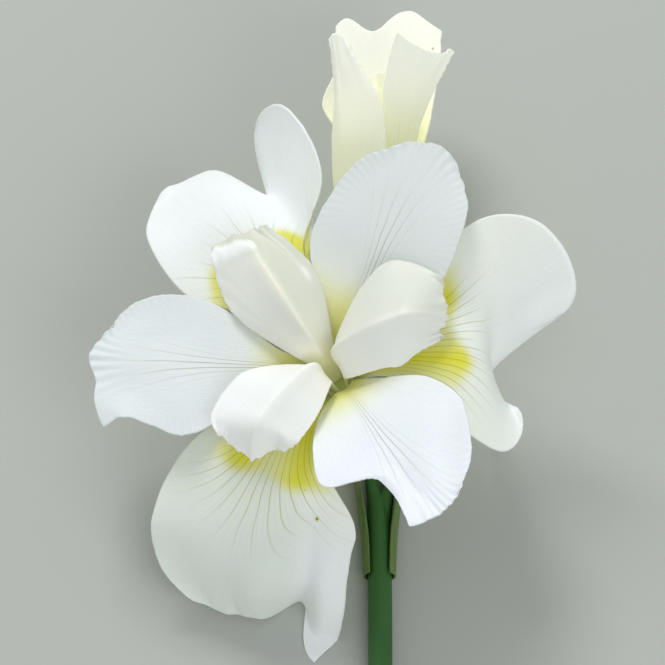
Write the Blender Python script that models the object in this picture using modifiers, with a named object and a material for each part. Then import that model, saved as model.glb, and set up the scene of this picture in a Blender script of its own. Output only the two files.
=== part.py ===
# A picked iris stem lying on a surface: an open white bloom that faces up,
# and a second, half-opened flower that leaves the same spathe.
#
# Each petal is built round its own flower's axis from a few stations. A station holds, in millimetres:
#   the midrib       its reach from the axis and its height from the throat
#   the right edge   its half-width, clockwise of the midrib, then how far it stands out and up from it
#   the left edge    the same, counter-clockwise of the midrib
# Between stations the values follow a smooth curve.
# Notches cut back the far margin towards the flower's axis, and dips cut it back along the petal.
# Each holds its place across the petal, its width, its depth, and how late along the petal it deepens.

import math

import bmesh
import bpy
from mathutils import Euler, Matrix, Vector

MM = 0.001

# The stem lies on the surface as far as the spathe, where two pedicels leave it.
STEM_RADIUS = 2.7
STEM_LENGTH = 125.0
STEM_REST = 2.63
STEM_RINGS = 34
PEDICEL_RADIUS = 1.6
PEDICEL_RINGS = 20
SPATHE_PLACE = Vector((10.0, -30.0, 3.4))
SPATHE_START = Vector((0.0, -8.0, 0.1))

# Ovaries: height below the throat along the flower's axis, and radius.
OVARY_RADIUS = 3.1
OVARY_NECK = OVARY_RADIUS * 0.75
BLOOM_OVARY_FOOT = (-23.0, OVARY_RADIUS * 0.8)
BLOOM_OVARY = [(-18.0, OVARY_RADIUS), (-12.0, OVARY_RADIUS), (-8.0, OVARY_NECK)]
BUD_OVARY_FOOT = (-21.0, OVARY_RADIUS * 0.7)
BUD_OVARY = [(-16.0, OVARY_RADIUS), (-8.0, OVARY_RADIUS), (-4.0, OVARY_NECK)]

# The tube's rim, under the petals' feet.
TUBE_TOP_RADIUS = 5.4
TUBE_LIP_RADIUS = 4.9
TUBE_LIP = 0.8

# Mesh detail of every round piece.
TUBE_RESOLUTION = 3
WELD_DISTANCE = 0.00001

# The open bloom: its throat stands this high and its axis leans to one side.
THROAT_PLACE = Vector((0.0, 0.0, 30.0))
BLOOM_LEAN = math.radians(-14.5)
PETAL_FOOT = -4.0
SEAT_GAP = 0.3

# A stamen runs under its style arm: reach, height and radius of its filament, then of its anther.
FILAMENT = [(3.0, PETAL_FOOT, 0.5), (4.6, 3.0, 0.5), (8.0, 8.0, 0.5), (11.0, 9.6, 0.6)]
ANTHER = [(12.0, 10.0, 0.9), (17.0, 11.3, 1.0), (21.0, 11.9, 0.7)]

# The half-opened flower points along the stem, raised a little.
BUD_PLACE = Vector((9.5, 40.0, 16.0))
BUD_RAISE = math.radians(25.0)
BUD_FOOT = 2.0
BUD_STYLE = [(20.0, 1.4), (34.0, 0.7)]
BUD_STYLE_RADIUS = 0.8

# Petals.
PETAL_THICKNESS = 0.66
FALL_GRID = (14, 18)
STANDARD_GRID = (11, 14)
STYLE_GRID = (14, 16)
BUD_GRID = (9, 14)
BRACT_GRID = (6, 8)
TANGENT_STEP = 0.01

# A frilled margin waves more and more from here to the petal's end.
FRILL_START = 0.3
FRILL_POWER = 3
RIGHT_PHASE = 2.4
LEFT_PHASE = 0.6

# Small teeth along a style arm's crest.
CREST_TEETH = 7
CREST_POWER = 8

# The stem's middle is moved to the origin.
CENTRE_SHIFT = Vector((2.0, 30.0, 0.0))

FALL_CLAW = [
    ((4.5, PETAL_FOOT), (3.0, 0.0, 0.0), (3.0, 0.0, 0.0)),
    ((7.5, 3.5), (3.5, -0.3, 1.0), (3.5, -0.3, 1.0)),
]
FALLS = {
    "fall_front": dict(
        azimuth=-120, curl=(2.0, 2.0), ruffle=0.7, waves=3.0,
        notches=[(0.57, 0.2, 9.5, 3), (-0.4, 0.35, -2.0, 3)],
        stations=FALL_CLAW + [
            ((15.0, 7.5), (9.0, 0.0, 1.5), (7.0, 0.0, 1.5)),
            ((25.0, 8.0), (18.0, 0.0, 0.0), (13.0, -2.0, -3.0)),
            ((35.0, 4.0), (22.0, 1.0, 1.0), (20.5, -6.0, -7.0)),
            ((44.0, -2.0), (21.5, 5.0, 3.0), (20.5, -9.0, -10.0)),
            ((51.0, -10.0), (18.0, 4.0, 4.0), (20.5, -3.0, -16.5)),
            ((53.7, -21.0), (10.0, 3.5, 6.0), (13.6, 5.1, -27.0)),
        ]),
    "fall_left": dict(
        azimuth=118, curl=(3.2, 1.6), ruffle=0.7, waves=3.0, notches=[(-0.47, 0.26, 19.0, 1)],
        stations=FALL_CLAW + [
            ((15.0, 7.5), (6.5, 0.0, 1.5), (8.0, 0.0, 1.5)),
            ((26.0, 8.5), (9.5, 3.0, 1.0), (13.0, -1.0, 0.0)),
            ((37.0, 8.5), (20.5, 2.0, 4.5), (20.0, -1.0, -1.5)),
            ((48.0, 7.0), (23.5, 3.0, 7.5), (21.0, 5.0, -0.5)),
            ((60.0, 4.0), (21.5, 2.5, 9.0), (16.5, 1.0, 0.0)),
            ((66.0, -2.0), (15.0, 0.0, 9.0), (10.0, -1.0, 4.0)),
            ((64.0, -14.0), (12.0, -4.0, 10.0), (6.0, 0.0, 2.0)),
            ((58.0, -25.0), (7.0, -4.0, 4.0), (4.0, 0.0, 0.0)),
        ]),
    "fall_right": dict(
        azimuth=5, curl=(1.5, 2.8), ruffle=0.7, waves=3.0,
        stations=FALL_CLAW + [
            ((15.0, 7.5), (7.0, 0.0, 1.5), (9.0, 0.0, 1.5)),
            ((24.0, 8.0), (14.0, -1.0, -1.0), (21.0, 2.0, 1.0)),
            ((31.0, 6.0), (21.0, -1.0, -5.0), (28.0, 9.0, 4.0)),
            ((35.0, 1.0), (24.0, 1.0, -5.0), (25.0, 17.0, 8.5)),
            ((34.5, -7.0), (19.0, 5.5, 1.0), (15.0, 23.0, 13.0)),
            ((31.0, -16.0), (12.0, 9.0, 8.0), (6.0, 23.4, 16.0)),
            ((28.5, -27.0), (6.0, 3.0, 3.0), (6.5, 5.5, 12.0)),
            ((27.0, -41.0), (4.0, 0.0, 1.0), (4.0, 0.0, 1.0)),
        ]),
}

STANDARD_CLAW = [
    ((3.1, PETAL_FOOT), (2.2, 0.0, 0.0), (2.2, 0.0, 0.0)),
    ((6.0, 4.0), (2.6, -0.4, 0.4), (2.6, -0.4, 0.4)),
]
STANDARDS = {
    "standard_left": dict(
        azimuth=178, curl=(2.0, 2.0), ruffle=0.7, waves=2.5, notches=[(0.3, 0.25, 1.5, 3)],
        stations=STANDARD_CLAW + [
            ((12.0, 8.5), (4.5, 0.0, 1.0), (4.0, 0.0, 1.0)),
            ((22.0, 11.0), (12.5, 0.0, 1.5), (12.5, 0.0, 0.0)),
            ((32.0, 13.5), (16.5, 0.0, 1.5), (17.0, 0.0, -0.5)),
            ((43.5, 15.5), (15.0, 0.0, 1.0), (13.2, 0.0, -0.5)),
            ((54.0, 16.5), (9.0, -4.0, 0.0), (14.3, -4.5, -1.0)),
        ]),
    "standard_back": dict(
        azimuth=61, curl=(2.0, 2.0), ruffle=0.7, waves=2.5, notches=[(0.2, 0.25, 1.5, 3)],
        stations=STANDARD_CLAW + [
            ((12.0, 8.5), (6.0, 0.0, 0.5), (7.0, 0.0, 1.0)),
            ((22.0, 11.0), (15.0, 0.0, 0.5), (15.5, 0.0, 1.5)),
            ((32.0, 13.5), (17.5, 0.0, 1.0), (17.0, 0.0, 1.5)),
            ((44.0, 15.5), (15.5, 0.0, 0.5), (14.5, 0.0, 0.5)),
            ((56.0, 16.5), (8.0, -3.5, -0.5), (8.0, -5.0, 0.0)),
        ]),
    "standard_front": dict(
        azimuth=-57, curl=(2.0, 2.0), ruffle=0.8, waves=3.0,
        stations=STANDARD_CLAW + [
            ((11.0, 8.5), (9.0, 0.0, 1.0), (7.0, 0.0, 0.5)),
            ((19.0, 11.0), (15.0, 0.0, 1.0), (15.5, 0.0, 1.0)),
            ((28.0, 13.5), (17.0, 0.0, 0.0), (19.0, 0.0, 0.5)),
            ((35.0, 14.5), (7.0, -1.0, 0.0), (17.5, 0.0, 0.5)),
            ((43.0, 15.8), (5.8, -1.0, -0.3), (13.5, 0.0, 0.5)),
            ((51.5, 16.5), (7.0, -2.0, -0.5), (6.5, -2.5, 0.0)),
        ]),
}

# A style arm stands up from the throat, arches over like a roof, and its toothed crest folds down.
STYLE_CLAW = [
    ((1.6, PETAL_FOOT), (1.2, 0.0, 0.0), (1.2, 0.0, 0.0)),
    ((2.4, 6.0), (2.9, 0.4, -0.6), (2.9, 0.4, -0.6)),
]
STYLE_ARMS = {
    "style_arm_front": dict(
        azimuth=-127, curl=(1.2, 1.2), ruffle=0.3, waves=2.0, notches=[(0.5, 0.25, 1.5, 3)], teeth=0.5,
        stations=STYLE_CLAW + [
            ((3.8, 13.5), (5.0, 0.5, -3.5), (4.8, 0.5, -3.5)),
            ((12.0, 17.5), (11.8, 0.0, -3.5), (7.8, 0.0, -5.0)),
            ((18.5, 18.3), (13.2, 0.0, -3.5), (8.3, 0.0, -5.0)),
            ((24.0, 17.6), (12.5, 0.5, -2.8), (8.3, -3.5, -4.0)),
            ((28.6, 10.0), (10.0, -1.0, 4.3), (7.0, -7.0, 2.2)),
        ]),
    "style_arm_left": dict(
        azimuth=120, curl=(1.2, 1.2), ruffle=0.3, waves=2.0, notches=[(-0.1, 0.2, 1.2, 3)], teeth=0.5,
        stations=STYLE_CLAW + [
            ((4.5, 14.5), (4.6, 0.5, -4.0), (5.2, 0.5, -4.0)),
            ((13.0, 18.5), (8.0, 0.0, -5.5), (9.0, 0.0, -6.0)),
            ((21.0, 19.2), (9.2, 0.0, -5.0), (11.5, 0.0, -5.5)),
            ((28.5, 19.0), (7.7, -0.5, -3.5), (10.7, 1.0, -4.5)),
            ((36.5, 17.0), (5.3, -2.5, -0.5), (7.5, 0.7, -0.8)),
        ]),
    "style_arm_right": dict(
        azimuth=12, curl=(1.2, 1.2), ruffle=0.3, waves=2.0, notches=[(-0.5, 0.2, 1.5, 3)], teeth=0.5,
        stations=STYLE_CLAW + [
            ((4.0, 14.0), (5.8, 0.3, -4.5), (4.2, 0.3, -2.5)),
            ((12.0, 18.3), (7.0, 0.0, -6.5), (13.0, 1.0, -4.0)),
            ((18.5, 19.2), (7.5, -1.5, -7.5), (16.4, 2.3, -4.0)),
            ((24.6, 18.5), (6.0, -4.0, -6.8), (11.5, 4.1, -3.0)),
            ((29.6, 11.8), (3.8, -2.6, -1.3), (8.0, 1.4, 3.7)),
        ]),
}

# In the half-opened flower the petals stand along the axis and their edges roll inwards.
BUD_CLAW = [((4.3, BUD_FOOT), (2.4, -0.4, 0.0), (2.4, -0.4, 0.0))]
BUD_FALLS = {
    "bud_fall_left": dict(
        azimuth=-130, curl=(2.0, 2.0), ruffle=0.4, waves=2.0,
        stations=BUD_CLAW + [
            ((8.5, 10.0), (6.0, -1.5, 0.0), (6.0, -1.5, 0.0)),
            ((11.0, 23.0), (7.2, -3.5, 0.0), (9.5, -3.0, 0.0)),
            ((12.5, 37.0), (4.3, -2.5, -1.0), (9.0, -2.5, -2.0)),
            ((15.0, 49.5), (2.5, -0.5, -1.0), (3.5, -0.5, -3.0)),
        ]),
    "bud_fall_right": dict(
        azimuth=-38, curl=(2.0, 2.0), ruffle=0.4, waves=2.0,
        stations=BUD_CLAW + [
            ((6.5, 10.0), (5.0, -1.2, 0.0), (5.0, -1.2, 0.0)),
            ((9.0, 23.0), (6.8, -2.7, 0.0), (6.2, -2.5, 0.0)),
            ((12.0, 36.0), (9.4, -3.2, 0.5), (8.0, -2.0, 0.0)),
            ((17.5, 45.0), (12.0, -2.0, 4.0), (7.5, 0.0, 1.5)),
        ]),
    "bud_fall_back": dict(
        azimuth=75, curl=(2.0, 2.0), ruffle=0.4, waves=2.0,
        dips=[(0.3, 0.28, 3.4, 6), (-0.4, 0.35, -1.5, 6), (0.85, 0.22, -2.2, 6)],
        stations=BUD_CLAW + [
            ((7.0, 10.0), (5.5, -1.5, 0.0), (5.5, -1.5, 0.0)),
            ((9.0, 19.0), (8.5, -3.0, 0.0), (8.5, -3.0, 0.0)),
            ((10.2, 27.0), (10.8, -4.0, 0.0), (11.0, -4.0, 0.0)),
            ((11.0, 34.0), (12.0, -4.0, 0.0), (15.0, -4.0, 0.0)),
            ((12.2, 43.0), (12.8, -3.0, -0.5), (12.5, -3.5, -1.0)),
            ((14.0, 55.4), (13.0, -3.0, -4.5), (13.0, -2.0, -4.0)),
        ]),
}

BUD_STANDARD = dict(
    curl=(2.0, 2.0), ruffle=0.3, waves=2.0,
    stations=[
        ((2.9, BUD_FOOT), (1.3, -0.2, 0.0), (1.3, -0.2, 0.0)),
        ((4.2, 13.0), (2.6, -0.6, 0.0), (2.6, -0.6, 0.0)),
        ((5.2, 26.0), (4.0, -1.2, 0.0), (4.0, -1.2, 0.0)),
        ((5.6, 41.0), (3.2, -1.0, -1.5), (3.2, -1.0, -1.5)),
    ])
BUD_STANDARD_AZIMUTHS = {"bud_standard_left": 160, "bud_standard_front": -82, "bud_standard_right": 35}

BRACT = dict(
    curl=(2.0, 2.0), ruffle=0.0, waves=1.0,
    stations=[
        ((3.6, 0.0), (2.7, -1.3, 0.0), (2.7, -1.3, 0.0)),
        ((4.1, 10.0), (3.1, -1.4, 0.0), (3.1, -1.4, 0.0)),
        ((5.1, 20.0), (2.8, -1.0, 0.0), (2.8, -1.0, 0.0)),
        ((6.2, 32.0), (0.5, 0.0, 0.0), (0.5, 0.0, 0.0)),
    ])
BRACT_AZIMUTHS = {"spathe_bract_left": 180, "spathe_bract_right": 0}

COLOURS = {
    "fall": (0.86, 0.86, 0.76),
    "standard": (0.88, 0.90, 0.90),
    "style_arm": (0.92, 0.92, 0.88),
    "stamen": (0.80, 0.76, 0.58),
    "bud": (0.88, 0.87, 0.74),
    "stem": (0.16, 0.28, 0.10),
    "bract": (0.34, 0.42, 0.20),
}


def clear_scene():
    for thing in list(bpy.data.objects):
        bpy.data.objects.remove(thing, do_unlink=True)


def material(name):
    made = bpy.data.materials.get(name)
    if made is None:
        made = bpy.data.materials.new(name)
        made.use_nodes = True
        shader = made.node_tree.nodes["Principled BSDF"]
        shader.inputs["Base Color"].default_value = (*COLOURS[name], 1.0)
        shader.inputs["Roughness"].default_value = 0.5
        shader.inputs["Metallic"].default_value = 0.0
    return made


def smooth_between(rows, place):
    """Read a smooth curve through the rows at place, from 0 at the first to 1 at the last."""
    scaled = place * (len(rows) - 1)
    index = min(int(scaled), len(rows) - 2)
    part = scaled - index
    before = rows[max(index - 1, 0)]
    start = rows[index]
    end = rows[index + 1]
    after = rows[min(index + 2, len(rows) - 1)]
    values = []
    for a, b, c, d in zip(before, start, end, after):
        slope_in = (c - a) / 2
        slope_out = (d - b) / 2
        bend = 3 * (c - b) - 2 * slope_in - slope_out
        twist = 2 * (b - c) + slope_in + slope_out
        values.append(b + part * (slope_in + part * (bend + part * twist)))
    return values


def cut_back(notches, along, across):
    """How far the notches reach in at one point of a petal."""
    reached = 0.0
    for place, width, depth, lateness in notches:
        reached += depth * along ** lateness * math.exp(-((across - place) / width) ** 2)
    return reached


def petal_point(petal, azimuth, along, across):
    """One point of a petal's middle surface, in its flower's own frame."""
    rows = [(*midrib, *right, *left) for midrib, right, left in petal["stations"]]
    reach, height, *edges = smooth_between(rows, along)
    width, out, up = edges[3:] if across > 0 else edges[:3]
    ahead = smooth_between(rows, min(along + TANGENT_STEP, 1.0))
    behind = smooth_between(rows, max(along - TANGENT_STEP, 0.0))
    tangent = Vector((ahead[0] - behind[0], 0.0, ahead[1] - behind[1])).normalized()
    normal = Vector((-tangent.z, 0.0, tangent.x))

    side = abs(across)
    right_curl, left_curl = petal["curl"]
    bend = side ** (left_curl if across > 0 else right_curl)
    phase = LEFT_PHASE if across > 0 else RIGHT_PHASE
    spread = max(along - FRILL_START, 0.0) / (1.0 - FRILL_START)
    wave = math.sin(math.tau * petal["waves"] * along + phase)
    frill = wave * petal["ruffle"] * spread * side ** FRILL_POWER
    notch = cut_back(petal.get("notches", ()), along, across)
    dip = cut_back(petal.get("dips", ()), along, across)
    tooth = petal.get("teeth", 0.0) * along ** CREST_POWER * math.cos(across * math.pi * CREST_TEETH)

    point = Vector((reach + out * bend - notch, across * width, height + up * bend))
    point += normal * frill + tangent * (tooth - dip)
    return Matrix.Rotation(azimuth, 3, "Z") @ point


def petal_object(name, petal, azimuth, frame, grid, slot, collection):
    """A petal is a grid laid on its middle surface, split into triangles and thickened."""
    columns, rows = grid
    floor = PETAL_THICKNESS / 2
    back = frame.inverted()
    mesh = bpy.data.meshes.new(name)
    shape = bmesh.new()
    bmesh.ops.create_grid(shape, x_segments=columns, y_segments=rows, size=1.0)
    for vertex in shape.verts:
        along = (vertex.co.y + 1) / 2
        point = frame @ petal_point(petal, math.radians(azimuth), along, vertex.co.x)
        point.z = max(point.z, floor)
        vertex.co = (back @ point) * MM
    bmesh.ops.triangulate(shape, faces=shape.faces[:])
    shape.to_mesh(mesh)
    shape.free()
    mesh.shade_smooth()
    mesh.materials.append(material(slot))
    made = bpy.data.objects.new(name, mesh)
    collection.objects.link(made)
    solid = made.modifiers.new("Thickness", "SOLIDIFY")
    solid.thickness = PETAL_THICKNESS * MM
    solid.offset = 0.0
    return made


def flower_frame(name, place, turn, collection):
    """An empty at a flower's throat, with its axis along local Z."""
    holder = bpy.data.objects.new(name, None)
    holder.empty_display_size = 0.01
    holder.location = (place + CENTRE_SHIFT) * MM
    holder.rotation_euler = turn
    collection.objects.link(holder)
    frame = Matrix.Translation(place) @ turn.to_matrix().to_4x4()
    return holder, frame


def tube_curve(name, points, slot, collection):
    """A tube through points, each with its own radius, as a mesh with welded caps."""
    curve = bpy.data.curves.new(name, "CURVE")
    curve.dimensions = "3D"
    curve.bevel_depth = MM
    curve.bevel_resolution = TUBE_RESOLUTION
    curve.use_fill_caps = True
    spline = curve.splines.new("POLY")
    spline.points.add(len(points) - 1)
    for knot, (x, y, z, radius) in zip(spline.points, points):
        knot.co = (x * MM, y * MM, z * MM, 1.0)
        knot.radius = radius
    guide = bpy.data.objects.new(name + "_guide", curve)
    collection.objects.link(guide)
    bpy.context.view_layer.update()
    evaluated = guide.evaluated_get(bpy.context.evaluated_depsgraph_get())
    mesh = bpy.data.meshes.new_from_object(evaluated)
    bpy.data.objects.remove(guide, do_unlink=True)
    welded = bmesh.new()
    welded.from_mesh(mesh)
    bmesh.ops.remove_doubles(welded, verts=welded.verts[:], dist=WELD_DISTANCE)
    bmesh.ops.recalc_face_normals(welded, faces=welded.faces[:])
    welded.to_mesh(mesh)
    welded.free()
    mesh.materials.clear()
    mesh.materials.append(material(slot))
    made = bpy.data.objects.new(name, mesh)
    collection.objects.link(made)
    return made


def smooth_route(points, count):
    return [smooth_between(points, index / (count - 1)) for index in range(count)]


def axis_points(frame, heights):
    """Points up a flower's axis, each with its radius."""
    return [(*(frame @ Vector((0.0, 0.0, height))), radius) for height, radius in heights]


def tube_rim(foot):
    """The tube widens to a rim just under the petals' feet."""
    top = foot - PETAL_THICKNESS / 2 - SEAT_GAP
    return [(top - TUBE_LIP, TUBE_LIP_RADIUS), (top, TUBE_TOP_RADIUS)]


def stem_object(bloom_frame, bud_frame, parts, cutters):
    """Stem, pedicels, ovaries and tubes grew as one piece."""
    sx, sy, sz = SPATHE_PLACE
    main = smooth_route([
        (sx, sy - STEM_LENGTH, STEM_REST, STEM_RADIUS),
        (sx, sy - STEM_LENGTH / 2, STEM_REST, STEM_RADIUS),
        (sx, sy, sz, STEM_RADIUS),
        (sx - 1.5, sy + 14, sz + 0.2, PEDICEL_RADIUS),
        (sx - 3.2, sy + 24.5, sz + 0.8, PEDICEL_RADIUS),
        *axis_points(bloom_frame, [BLOOM_OVARY_FOOT]),
    ], STEM_RINGS)
    main += axis_points(bloom_frame, BLOOM_OVARY + tube_rim(PETAL_FOOT))
    side = smooth_route([
        (sx, sy - 2, sz, PEDICEL_RADIUS),
        (sx + 2.5, sy + 18, sz + 0.3, PEDICEL_RADIUS),
        (sx + 3.5, sy + 38, sz + 1.5, PEDICEL_RADIUS),
        *axis_points(bud_frame, [BUD_OVARY_FOOT]),
    ], PEDICEL_RINGS)
    side += axis_points(bud_frame, BUD_OVARY + tube_rim(BUD_FOOT))
    stem = tube_curve("stem", main, "stem", parts)
    branch = tube_curve("stem_branch", side, "stem", cutters)
    branch.hide_render = True
    branch.display_type = "WIRE"
    union = stem.modifiers.new("Branch", "BOOLEAN")
    union.operation = "UNION"
    union.solver = "EXACT"
    union.object = branch
    for grown in (stem, branch):
        grown.location = CENTRE_SHIFT * MM
    return stem


def stamen_object(name, azimuth, holder, parts):
    """A filament under a style arm, with its long anther."""
    turn = Matrix.Rotation(math.radians(azimuth), 3, "Z")
    points = []
    for reach, height, radius in FILAMENT + ANTHER:
        spot = turn @ Vector((reach, 0.0, height))
        points.append((*spot, radius))
    made = tube_curve(name, points, "stamen", parts)
    made.parent = holder
    return made


def build():
    clear_scene()
    parts = bpy.data.collections.new("iris_flower_stem")
    cutters = bpy.data.collections.new("cutters")
    bpy.context.scene.collection.children.link(parts)
    bpy.context.scene.collection.children.link(cutters)

    bloom, bloom_frame = flower_frame("bloom", THROAT_PLACE, Euler((0.0, BLOOM_LEAN, 0.0)), parts)
    bud_turn = Euler((BUD_RAISE - math.pi / 2, 0.0, 0.0))
    bud, bud_frame = flower_frame("bud", BUD_PLACE, bud_turn, parts)
    stem_turn = Euler((-math.pi / 2, 0.0, 0.0))
    spathe, spathe_frame = flower_frame("spathe", SPATHE_PLACE + SPATHE_START, stem_turn, parts)

    stem_object(bloom_frame, bud_frame, parts, cutters)

    kinds = (
        (FALLS, FALL_GRID, "fall"),
        (STANDARDS, STANDARD_GRID, "standard"),
        (STYLE_ARMS, STYLE_GRID, "style_arm"),
    )
    for petals, grid, slot in kinds:
        for name, petal in petals.items():
            made = petal_object(name, petal, petal["azimuth"], bloom_frame, grid, slot, parts)
            made.parent = bloom
    for name, petal in STYLE_ARMS.items():
        stamen_object(name.replace("style_arm", "stamen"), petal["azimuth"], bloom, parts)

    for name, petal in BUD_FALLS.items():
        made = petal_object(name, petal, petal["azimuth"], bud_frame, BUD_GRID, "bud", parts)
        made.parent = bud
    for name, azimuth in BUD_STANDARD_AZIMUTHS.items():
        made = petal_object(name, BUD_STANDARD, azimuth, bud_frame, BUD_GRID, "bud", parts)
        made.parent = bud
    style_foot = BUD_FOOT - PETAL_THICKNESS / 2
    style_points = [(0.0, 0.0, style_foot, BUD_STYLE_RADIUS)]
    style_points += [(0.0, 0.0, height, radius) for height, radius in BUD_STYLE]
    style = tube_curve("bud_style", style_points, "bud", parts)
    style.parent = bud

    for name, azimuth in BRACT_AZIMUTHS.items():
        made = petal_object(name, BRACT, azimuth, spathe_frame, BRACT_GRID, "bract", parts)
        made.parent = spathe


build()
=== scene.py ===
import math

import bmesh
import bpy
from mathutils import Euler, Matrix, Vector, noise


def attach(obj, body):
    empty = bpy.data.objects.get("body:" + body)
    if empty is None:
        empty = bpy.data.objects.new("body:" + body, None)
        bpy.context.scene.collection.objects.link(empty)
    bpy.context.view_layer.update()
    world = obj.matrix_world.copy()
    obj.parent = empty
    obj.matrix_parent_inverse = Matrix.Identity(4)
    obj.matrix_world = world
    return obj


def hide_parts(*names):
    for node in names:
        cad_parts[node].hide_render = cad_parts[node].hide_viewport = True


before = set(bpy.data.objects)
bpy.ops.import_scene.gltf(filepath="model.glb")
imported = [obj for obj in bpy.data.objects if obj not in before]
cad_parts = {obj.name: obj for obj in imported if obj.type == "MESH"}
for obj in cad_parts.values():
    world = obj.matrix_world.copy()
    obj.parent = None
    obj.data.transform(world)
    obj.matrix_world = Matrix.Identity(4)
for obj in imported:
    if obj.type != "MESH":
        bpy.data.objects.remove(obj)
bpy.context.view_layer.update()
mm = 0.001

# places shared with the solids, in millimetres
centreShift = Vector((2.0, 30.0, 0.0))
throatPlace = Vector((0.0, 0.0, 30.0))
bloomTurn = Euler((0.0, math.radians(-14.5), 0.0))
budPlace = Vector((9.5, 40.0, 16.0))
budTurn = Euler((math.radians(25.0 - 90.0), 0.0, 0.0))
spathePlace = Vector((10.0, -30.0, 3.4))
spatheTurn = Euler((math.radians(-90.0), 0.0, 0.0))
bractFoot = Vector((0.0, -8.0, 0.1))  # from the spathe's place to the foot of its bracts


def flowerFrame(place, turn):
    return Matrix.Translation(place + centreShift) @ turn.to_matrix().to_4x4()


bloomFrame = flowerFrame(throatPlace, bloomTurn)
budFrame = flowerFrame(budPlace, budTurn)
spatheFrame = flowerFrame(spathePlace + bractFoot, spatheTurn)


def smoothBetween(rows, place):  # a smooth curve through all the rows, at a place from 0 to 1
    scaled = place * (len(rows) - 1)
    index = min(int(scaled), len(rows) - 2)
    part = scaled - index
    before = rows[max(index - 1, 0)]
    after = rows[min(index + 2, len(rows) - 1)]
    values = []
    for a, b, c, d in zip(before, rows[index], rows[index + 1], after):
        slopeIn = (c - a) / 2
        slopeOut = (d - b) / 2
        bend = 3 * (c - b) - 2 * slopeIn - slopeOut
        twist = 2 * (b - c) + slopeIn + slopeOut
        values.append(b + part * (slopeIn + part * (bend + part * twist)))
    return values


def smoothRoute(points, count):
    return [smoothBetween(points, index / (count - 1)) for index in range(count)]


def ramp(value, low, high):  # rises smoothly from 0 to 1
    part = min(max((value - low) / (high - low), 0.0), 1.0)
    return part * part * (3 - 2 * part)


def fade(value, low, high):  # falls smoothly from 1 to 0
    return 1.0 - ramp(value, low, high)


def hump(value, middle, width):
    return math.exp(-((value - middle) / width) ** 2)


def settle(piece, node):
    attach(piece, "root")
    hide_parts(node)


def newMaterial(name):
    made = bpy.data.materials.new(name)
    made.use_nodes = True
    tree = made.node_tree
    return made, tree, tree.nodes["Principled BSDF"]


def mathNode(tree, kind, *values, clamp=False):
    node = tree.nodes.new("ShaderNodeMath")
    node.operation = kind
    node.use_clamp = clamp
    for socket, value in zip(node.inputs, values):
        if isinstance(value, (int, float)):
            socket.default_value = value
        else:
            tree.links.new(value, socket)
    return node.outputs[0]


def mixColours(tree, factor, first, second):
    node = tree.nodes.new("ShaderNodeMix")
    node.data_type = "RGBA"
    tree.links.new(factor, node.inputs[0])
    for socket, value in ((node.inputs[6], first), (node.inputs[7], second)):
        if isinstance(value, tuple):
            socket.default_value = (*value, 1.0)
        else:
            tree.links.new(value, socket)
    return node.outputs[2]


def noiseNode(tree, vector, scale, detail):
    node = tree.nodes.new("ShaderNodeTexNoise")
    node.inputs["Scale"].default_value = scale
    node.inputs["Detail"].default_value = detail
    tree.links.new(vector, node.inputs["Vector"])
    return node.outputs["Fac"]


def stretched(tree, vector, scale):
    node = tree.nodes.new("ShaderNodeMapping")
    node.inputs["Scale"].default_value = scale
    tree.links.new(vector, node.inputs["Vector"])
    return node.outputs["Vector"]


def distanceFrom(tree, vector, place):
    node = tree.nodes.new("ShaderNodeVectorMath")
    node.operation = "DISTANCE"
    tree.links.new(vector, node.inputs[0])
    node.inputs[1].default_value = place
    return node.outputs["Value"]


def objectCoords(tree):
    return tree.nodes.new("ShaderNodeTexCoord").outputs["Object"]


def attribute(tree, name):
    node = tree.nodes.new("ShaderNodeAttribute")
    node.attribute_name = name
    return node.outputs["Fac"]


def addBump(tree, shader, height, strength, distance):
    node = tree.nodes.new("ShaderNodeBump")
    node.inputs["Strength"].default_value = strength
    node.inputs["Distance"].default_value = distance
    tree.links.new(height, node.inputs["Height"])
    tree.links.new(node.outputs["Normal"], shader.inputs["Normal"])


def lines(tree, phase, width):  # 1 on each whole number of the phase, falling to 0 at the width
    away = mathNode(tree, "DIVIDE", mathNode(tree, "PINGPONG", phase, 0.5), width)
    return mathNode(tree, "SUBTRACT", 1.0, away, clamp=True)


# What the skin of every petal shares. A noise is its scale, in cells to the metre for all but the
# ribs, and its detail. A speck is a brown dot with a pale ring, and height counts for a tenth in it,
# so that it shows on a sloping petal.
petalSkin = dict(
    wanderNoise=(60.0, 1.5), patchNoise=(170.0, 3.0), patchContrast=(2.2, -0.45),
    cloudNoise=(55.0, 4.0), ribNoise=(1.0, 3.0), cellNoise=(1600.0, 2.0),
    specular=0.3, sheen=0.08, sheenRoughness=0.4,
    scatterRadius=(1.0, 0.95, 0.75), scatterScale=0.0015,
    ribRelief=-0.6, cellRelief=0.35, veinRelief=-0.8, reliefDepth=0.00012,
    speckHeight=0.1, speckNoise=(1500.0, 1.0), speckRagged=0.8,
    speckRings=((2.1, (0.62, 0.60, 0.36)), (1.0, (0.16, 0.08, 0.03))))


def addSpecks(tree, coords, coloured, specks):
    flat = petalSkin["speckHeight"]
    for x, y, z, size in specks:
        place = (x * mm, y * mm, z * mm * flat)
        away = distanceFrom(tree, stretched(tree, coords, (1.0, 1.0, flat)), place)
        rough = noiseNode(tree, coords, *petalSkin["speckNoise"])
        ragged = mathNode(tree, "MULTIPLY_ADD", rough, petalSkin["speckRagged"] * size * mm, away)
        for spread, tone in petalSkin["speckRings"]:
            inside = mathNode(tree, "LESS_THAN", ragged, spread * size * mm)
            coloured = mixColours(tree, inside, coloured, tone)
    return coloured


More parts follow.
